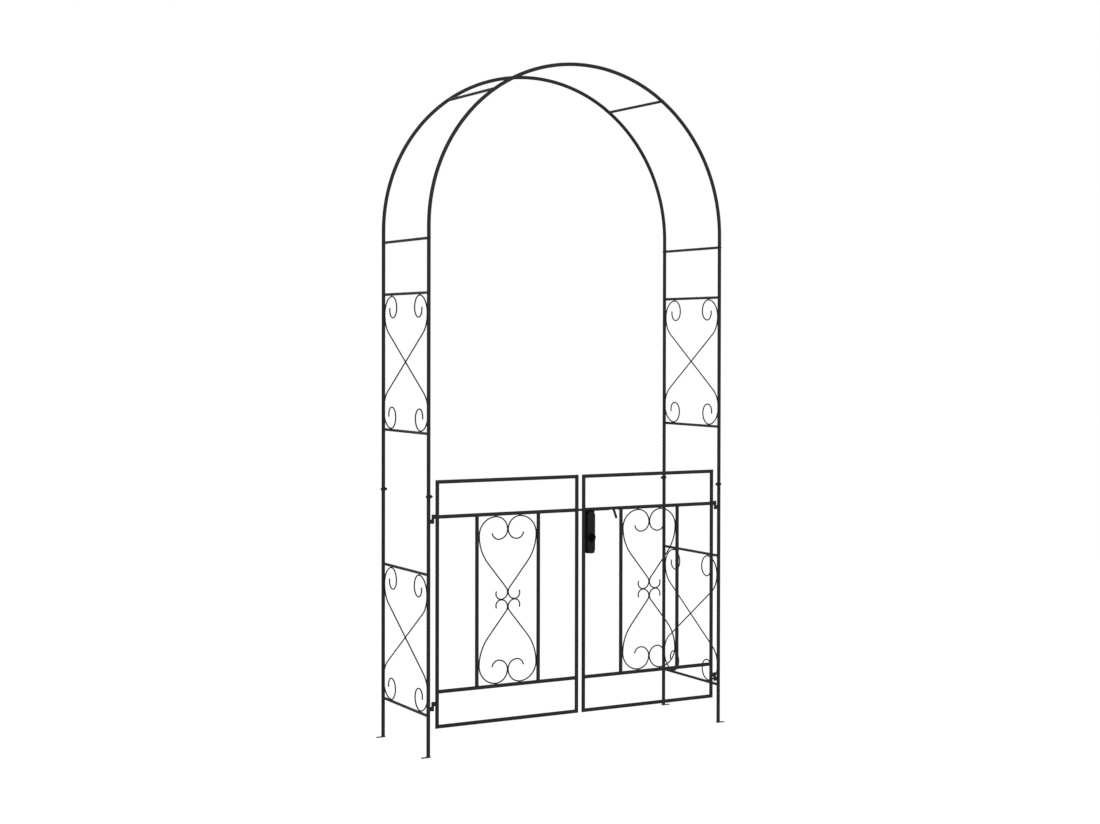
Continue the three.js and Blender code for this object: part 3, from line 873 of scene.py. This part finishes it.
# A joint bolt. Its head is drawn from the floor of its socket out and back down the dome to the shank, and
# its nut has a cap on it. Head and cap have their start from the tube's face, first radius and outline.
HEAD_START, HEAD_RADIUS = 0.0016, 0.0017
HEAD = (
    (0.0017, 0.0017),
    (-0.0003, 0.0031),
    (-0.0009, 0.0042),
    (-0.0009, 0.0048),
    (-0.0009, 0.0050),
    (-0.0003, 0.0048),
    (0, 0.0025),
)
NUT_RADIUS, NUT_HEIGHT, NUT_EDGE = 0.0060, 0.0040, 0.0003
CAP_START, CAP_RADIUS = 0.0030, 0.0046
CAP = ((0.0014, 0.0045), (0.0016, 0.0040), (0.0014, 0.0031), (0.0010, 0.0019), (0.0005, 0.0007))


class GARDENARCH_OT_joint_bolts(ArchOperator, bpy.types.Operator):
    """Makes the bolts through the posts: a domed head outside and a cap nut inside"""

    bl_idname = "garden_arch.joint_bolts"
    bl_label = "Joint Bolts"

    def execute(self, context):
        sizes = context.scene.garden_arch_sizes
        face = sizes.tube / 2
        at = Vector((POST.x, FRONT_Y, sizes.joint_height))
        head = Drawn(at + LEFT * (face + HEAD_START), LEFT, HEAD_RADIUS).along(HEAD)
        head = head.on(-2 * face).done()
        nut = Drawn(at + RIGHT * face, RIGHT, NUT_RADIUS, sides=NUT_SIDES)
        nut = nut.on(NUT_HEIGHT).done(NUT_EDGE)
        cap = Drawn(at + RIGHT * (face + CAP_START), RIGHT, CAP_RADIUS).along(CAP).done()
        front = joined(head, nut, cap)
        back = copied(front, moved(y=BACK_Y - FRONT_Y))
        both_sides(front, "left_front_joint_bolt", CENTRE, swap_ends=True)
        both_sides(back, "left_back_joint_bolt", CENTRE, swap_ends=True)
        return {"FINISHED"}


def leaf_box(sizes):
    """The centre lines of the left leaf's frame: hinge side, lock side, bottom and top."""
    low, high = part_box("left_leaf_frame")
    inset = sizes.tube / 2
    return low.x + inset, high.x - inset, low.z + inset, high.z - inset


class GARDENARCH_OT_leaf_frames(ArchOperator, bpy.types.Operator):
    """Makes the mitred frames of the two leaves, with holes for the bolts in the inner stiles"""

    bl_idname = "garden_arch.leaf_frames"
    bl_label = "Leaf Frames"

    def execute(self, context):
        sizes = context.scene.garden_arch_sizes
        hinge, lock, bottom, top = leaf_box(sizes)
        outline = ((hinge, bottom), (lock, bottom), (lock, top), (hinge, top))
        corners = [Vector((x, FRONT_Y, z)) for x, z in outline]
        sides = []
        for k, here in enumerate(corners):
            before, there, after = corners[k - 1], corners[(k + 1) % 4], corners[(k + 2) % 4]
            sides.append(self.mitred(here, there, before - here, after - there, sizes))
        ring = joined(*sides)
        mode("EDIT")
        closed(ring, sizes.edge, MERGED_MITRE)
        holes = []
        for diameter, node in ((sizes.slide_bolt, "left_leaf_mid_rail"), (sizes.deadbolt, "deadbolt")):
            radius = diameter / 2 + sizes.coat + sizes.seat
            hole = Drawn((lock - sizes.tube, FRONT_Y, middle(node).z), RIGHT, radius)
            holes.append(hole.on(2 * sizes.tube).done())
        both_sides(cut(ring, *holes), "left_leaf_frame", GATE)
        return {"FINISHED"}

    def mitred(self, here, there, to_before, to_after, sizes):
        """One side of the frame, longer than it has to be, cut off at 45 degrees at each end."""
        way = (there - here).normalized()
        bar = Drawn(here - way * sizes.tube, way, sizes.tube / 2 + sizes.coat, filled=False)
        bar.on((there - here).length + 2 * sizes.tube)
        for corner, along, other in ((here, way, to_before), (there, -way, to_after)):
            mark()
            bpy.ops.mesh.bisect(
                plane_co=tuple(corner),
                plane_no=tuple(other.normalized() - along),
                use_fill=False,
                clear_inner=False,
                clear_outer=True,
            )
        mode("OBJECT")
        return bar.piece


class GARDENARCH_OT_leaf_rails(ArchOperator, bpy.types.Operator):
    """Makes the rails and uprights of the leaves, welded into their frames"""

    bl_idname = "garden_arch.leaf_rails"
    bl_label = "Leaf Rails and Uprights"

    def execute(self, context):
        sizes = context.scene.garden_arch_sizes
        hinge, lock, _, _ = leaf_box(sizes)
        radius = sizes.tube / 2
        rails = {}
        for name in ("mid", "low"):
            node = f"left_leaf_{name}_rail"
            height = middle(node).z
            bore = radius - sizes.wall if name == "mid" else 0
            ends = ((hinge, FRONT_Y, height), (lock, FRONT_Y, height))
            rails[name] = welded_bar(*ends, radius + sizes.coat, sizes, bore)
        both_sides(rails["low"], "left_leaf_low_rail", GATE)
        slotted = copied(rails["mid"], half_turn(GATE))
        dress(cut(slotted, self.slot(sizes)), "right_leaf_mid_rail")
        dress(rails["mid"], "left_leaf_mid_rail")

        low, high = middle("left_leaf_low_rail").z, middle("left_leaf_mid_rail").z
        for name in ("hinge", "latch"):
            node = f"left_leaf_{name}_upright"
            x = middle(node).x
            ends = ((x, FRONT_Y, low), (x, FRONT_Y, high))
            both_sides(welded_bar(*ends, radius + sizes.coat, sizes), node, GATE)
        return {"FINISHED"}

    def slot(self, sizes):
        """What is cut out of the underside of the rail for the handle to slide in."""
        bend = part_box("slide_bolt")[0].x + sizes.slide_run
        start, end = bend - sizes.slot_ahead, bend + sizes.slot_behind
        radius = sizes.slide_bolt / 2 + sizes.coat + sizes.seat
        height = middle("right_leaf_mid_rail").z
        tool = Drawn((start + radius, FRONT_Y, height - sizes.tube), UP, radius)
        pick(tool.piece, lambda co: co.x > start + radius + IN_LINE)
        bpy.ops.transform.translate(value=(end - start - 2 * radius, 0, 0))
        mark()
        return tool.on(sizes.tube).done()


# Spots of weld in a leaf's scroll, as shares of the wire's radius: on its small curls, and where the two
# halves of a heart meet
SMALL_CURL_SPOT, HEART_SPOT = 1.05, 1.1


class GARDENARCH_OT_leaf_scrolls(ArchOperator, bpy.types.Operator):
    """Makes the scroll of each leaf: four wires that form one heart over another, tip to tip"""

    bl_idname = "garden_arch.leaf_scrolls"
    bl_label = "Leaf Scrolls"

    def execute(self, context):
        sizes = context.scene.garden_arch_sizes
        half = (sizes.upright_spacing - sizes.tube - sizes.wire) / 2 - sizes.seat
        touch = half - CURL_REACH
        rails = middle("left_leaf_mid_rail").z - middle("left_leaf_low_rail").z
        height = (rails - sizes.tube - sizes.wire) / 2 - sizes.seat
        arcs = curl(GATE_CURL)
        start = Vector((-half, height - arcs[0][0]))
        small = curl(SMALL_CURL, half)
        first = small[0][0]
        reach, straight, turn = sweep(half - touch, start.y - touch - first, GATE_SWEEP_SHARE)
        rest = [(reach - first, turn), (straight, 0), (first, -turn), *small]
        wire = drawn_wire(sizes.wire + 2 * sizes.coat, RIGHT, start, arcs, rest)

        modifier = wire.modifiers.new("Hearts", "MIRROR")
        modifier.use_axis = (True, False, True)
        modifier.use_mirror_merge = False
        select(wire)
        bpy.ops.object.modifier_apply(modifier=modifier.name)
        mode("EDIT")
        mark()
        bpy.ops.mesh.normals_make_consistent(inside=False)
        finished(wire)

        radius = sizes.wire / 2
        top = arcs[0][0] - half
        inner = start.y + arcs[0][0] - arcs[1][0]
        spots = []
        for z in (-1, 1):
            for x in (-1, 1):
                spots.append(spot((x * (half + radius), 0, z * start.y), radius, UP))
                spots.append(spot((x * top, 0, z * (height + radius)), radius, RIGHT))
                spots.append(spot((x * first, 0, 0), radius * SMALL_CURL_SPOT, RIGHT))
            spots.append(spot((0, 0, z * inner), radius * HEART_SPOT, UP))
            spots.append(spot((0, 0, z * (touch + first)), radius * HEART_SPOT, UP))
        scroll = joined(wire, *spots)
        at = middle("left_leaf_scroll")
        scroll.data.transform(moved(at.x, FRONT_Y, at.z))
        both_sides(scroll, "left_leaf_scroll", GATE)
        return {"FINISHED"}


# The hinges: where the eye's web starts, as a share of the barrel's radius, how deep a seam is sunk, as a
# share of the tube, and how far it stands out and how round it is, as shares of the weld
EYE_WEB_START = 0.8
SEAM_DEPTH, SEAM_OUT, SEAM_ROUND = 0.42, 0.7, 0.8


class GARDENARCH_OT_hinges(ArchOperator, bpy.types.Operator):
    """Makes the hinges: a pin on the post and an eye on the leaf that turns on it"""

    bl_idname = "garden_arch.hinges"
    bl_label = "Hinges"

    def execute(self, context):
        sizes = context.scene.garden_arch_sizes
        barrel, pin, plate = sizes.hinge_barrel / 2, sizes.hinge_pin / 2, sizes.hinge_web / 2
        rise = sizes.hinge_height
        stile = leaf_box(sizes)[0]
        for level in ("upper", "lower"):
            node = f"left_{level}_pintle"
            low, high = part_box(node)
            at = Vector((HINGE_X, FRONT_Y, low.z))
            base = Drawn(at, UP, barrel).on(rise).done(sizes.edge)
            rising = Drawn(at, UP, pin).on(high.z - low.z - sizes.edge)
            rising = rising.on(sizes.edge, pin - sizes.edge).done()
            web = self.web(POST.x + sizes.tube / 4, at.x, plate, at.z, sizes.edge, sizes)
            seam = self.seam(POST.x, at.z, sizes)
            both_sides(joined(base, rising, web, seam), node, GATE)

            node = f"left_leaf_{level}_eye"
            at.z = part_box(node)[0].z
            eye = Drawn(at, UP, barrel, filled=False)
            eye = eye.on(rise).on(0, pin + sizes.seat).on(-rise).on(0, barrel).done(sizes.edge)
            left = at.x + barrel * EYE_WEB_START
            web = self.web(left, stile - sizes.tube / 4, plate, at.z, sizes.edge, sizes)
            seam = self.seam(stile, at.z, sizes)
            both_sides(joined(eye, web, seam), node, GATE)
        return {"FINISHED"}

    def web(self, left, right, half, bottom, edge, sizes):
        """A flat web between a barrel and its tube, with half its thickness given."""
        low = (left, FRONT_Y - half, bottom + sizes.edge)
        high = (right, FRONT_Y + half, bottom + sizes.hinge_height - sizes.edge)
        return block(low, high, edge)

    def seam(self, tube_x, bottom, sizes):
        """A bead of weld where the web meets its tube."""
        toward = copysign(1, HINGE_X - tube_x)
        depths = (sizes.tube * SEAM_DEPTH, sizes.tube / 2 + sizes.weld)
        sides = sorted(tube_x + toward * depth for depth in depths)
        half = sizes.hinge_web / 2 + sizes.weld * SEAM_OUT
        return self.web(*sides, half, bottom, sizes.weld * SEAM_ROUND, sizes)


# How far the top of the lock's case is below the middle of its rail, as a share of the tube
CASE_TOP = 0.42

# The knob: the radius of its disc against the plate and the disc's outline, with radii as shares of the
# knob's. Then the bar to grip: half its width, how far from the disc's back it starts, its reach up and
# down as a share of the knob's radius, and its rounding.
KNOB_START = 0.88
KNOB = (
    (0.0008, 0.95),
    (0.0010, 1.0),
    (0.0038, 1.0),
    (0.0012, 0.95),
    (0.0008, 0.86),
    (-0.0003, 0.8),
    (0.0007, 0.55),
    (0.0001, 0.2),
)
GRIP_HALF, GRIP_START, GRIP_SHARE, GRIP_EDGE = 0.003, 0.0070, 0.8, 0.0014

# The screws of the lock's plates: how far from the plate's end, how deep they start, radius and outline
PLATE_SCREW_INSET, PLATE_SCREW_DEPTH, PLATE_SCREW_RADIUS = 0.012, 0.001, 0.0027
PLATE_SCREW = ((0.0011, 0.0027), (0.0001, 0.0025), (0, 0.0012), (-0.0009, 0.0012))

# The rounded ends of the bolts, in shares of the radius: the first radius and how far on it is full, then
# the length and the outline of the handle's end
SLIDE_TIP, DEADBOLT_TIP = (0.7, 0.25), (0.75, 0.3)
HANDLE_TIP_LENGTH, HANDLE_TIP = 0.4, ((0.2, 0.9), (0.2, 0.65))


class GARDENARCH_OT_lock(ArchOperator, bpy.types.Operator):
    """Makes the lock: its case between two plates, the knob, the deadbolt and the slide bolt"""

    bl_idname = "garden_arch.lock"
    bl_label = "Lock and Slide Bolt"

    def execute(self, context):
        sizes = context.scene.garden_arch_sizes
        self.case(sizes)
        for node in ("lock_front_plate", "lock_back_plate"):
            dress(self.rounded(*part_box(node), 2 * sizes.edge), node)
        self.knob(sizes)
        self.plate_screws()
        self.bolts(sizes)
        return {"FINISHED"}

    def case(self, sizes):
        """The case: two moulded halves that meet at a fine groove, with their tops under the rail."""
        node = "lock_case"
        low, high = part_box(node)
        high = Vector((high.x, high.y, middle("right_leaf_mid_rail").z - sizes.tube * CASE_TOP))
        inset = Vector((sizes.edge, 2 * sizes.edge, sizes.edge))
        halves = [
            block(low, (high.x, FRONT_Y - sizes.edge, high.z), 2 * sizes.edge),
            block((low.x, FRONT_Y + sizes.edge, low.z), high, 2 * sizes.edge),
            block(low + inset, high - inset, sizes.edge / 2),
        ]
        # The case's black finish is painted shade, which keeps its side dark beside the stile
        dress(joined(*halves), node, finish="body_black")

    def rounded(self, low, high, edge):
        """An upright plate with round ends, drawn from a circle whose halves are moved apart."""
        radius = (high.x - low.x) / 2
        centre = Vector(((low.x + high.x) / 2, high.y, low.z + radius))
        body = Drawn(centre, FRONT, radius, sides=PLATE_SIDES)
        pick(body.piece, lambda co: co.z > centre.z - IN_LINE)
        bpy.ops.transform.translate(value=(0, 0, high.z - low.z - 2 * radius))
        mark()
        return body.on(high.y - low.y).done(edge)

    def knob(self, sizes):
        """The knob: a dished disc with a bar across it to grip, and the spindle behind it."""
        node = "lock_knob"
        low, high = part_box(node)
        radius = (high.x - low.x) / 2
        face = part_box("lock_front_plate")[0].y - sizes.seat
        at = Vector(((low.x + high.x) / 2, face, (low.z + high.z) / 2))
        stem = Drawn((at.x, high.y, at.z), FRONT, sizes.spindle / 2)
        stem = stem.on(high.y - at.y + sizes.edge).done()
        disc = Drawn(at, FRONT, radius * KNOB_START, sides=PLATE_SIDES)
        disc = disc.along(KNOB, size=radius).done()
        low = (at.x - GRIP_HALF, low.y, at.z - radius * GRIP_SHARE)
        high = (at.x + GRIP_HALF, at.y - GRIP_START, at.z + radius * GRIP_SHARE)
        grip = block(low, high, GRIP_EDGE)
        # The knob takes the same black as the case, which on the case is painted shade
        dress(joined(disc, stem, grip), node, finish="body_black")

    def plate_screws(self):
        """A flush screw near the top and the bottom of each plate."""
        heads = []
        for node, way in (("lock_front_plate", FRONT), ("lock_back_plate", BACK)):
            low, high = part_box(node)
            face = low.y if way is FRONT else high.y
            for height in (high.z - PLATE_SCREW_INSET, low.z + PLATE_SCREW_INSET):
                at = Vector(((low.x + high.x) / 2, face, height)) - way * PLATE_SCREW_DEPTH
                heads.append(Drawn(at, way, PLATE_SCREW_RADIUS).along(PLATE_SCREW).done())
        attach(joined(*heads), "lock_plate_screws", "right_leaf", "bolt_paint")

    def bolts(self, sizes):
        """The slide bolt with its bent handle, and the deadbolt."""
        node = "slide_bolt"
        tip = Vector((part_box(node)[0].x, FRONT_Y, middle("right_leaf_mid_rail").z))
        radius = sizes.slide_bolt / 2 + sizes.coat
        bar = self.bolt(tip, radius, sizes.slide_run, *SLIDE_TIP)
        bar.bend(sizes.handle_bend, -HANDLE_ANGLE).on(sizes.handle_end - radius * HANDLE_TIP_LENGTH)
        dress(bar.along(HANDLE_TIP, radius, radius).done(), node, finish="sliding_bolt")

        node = "deadbolt"
        low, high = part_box(node)
        tip = (low.x, FRONT_Y, (low.z + high.z) / 2)
        bar = self.bolt(tip, sizes.deadbolt / 2, high.x - low.x, *DEADBOLT_TIP)
        dress(bar.done(), node, finish="sliding_bolt")

    def bolt(self, tip, radius, length, share, full):
        """A round bar from its rounded tip on."""
        start = radius * full
        return Drawn(tip, RIGHT, radius * share).on(start, radius).on(length - start)


OPERATORS = (
    GARDENARCH_OT_stage,
    GARDENARCH_OT_posts,
    GARDENARCH_OT_arches,
    GARDENARCH_OT_bars,
    GARDENARCH_OT_side_scrolls,
    GARDENARCH_OT_joint_bolts,
    GARDENARCH_OT_leaf_frames,
    GARDENARCH_OT_leaf_rails,
    GARDENARCH_OT_leaf_scrolls,
    GARDENARCH_OT_hinges,
    GARDENARCH_OT_lock,
)


class GARDENARCH_PT_panel(bpy.types.Panel):
    """Lists the pieces of the arch and their sizes in the sidebar"""

    bl_idname = "GARDENARCH_PT_panel"
    bl_label = "Garden Arch"
    bl_space_type = "VIEW_3D"
    bl_region_type = "UI"
    bl_category = "Garden Arch"

    def draw(self, context):
        column = self.layout.column()
        for operator in OPERATORS:
            column.operator(operator.bl_idname)
        for group in (context.scene.garden_arch_sizes, context.scene.garden_arch_colours):
            for name in group.__annotations__:
                self.layout.prop(group, name)


CLASSES = (GardenArchSizes, GardenArchColours, *OPERATORS, GARDENARCH_PT_panel)


def register():
    for cls in CLASSES:
        bpy.utils.register_class(cls)
    bpy.types.Scene.garden_arch_sizes = PointerProperty(type=GardenArchSizes)
    bpy.types.Scene.garden_arch_colours = PointerProperty(type=GardenArchColours)


def unregister():
    del bpy.types.Scene.garden_arch_colours
    del bpy.types.Scene.garden_arch_sizes
    for cls in reversed(CLASSES):
        bpy.utils.unregister_class(cls)


def main():
    register()
    for operator in OPERATORS:
        group, name = operator.bl_idname.split(".")
        getattr(getattr(bpy.ops, group), name)()


if __name__ == "__main__":
    main()
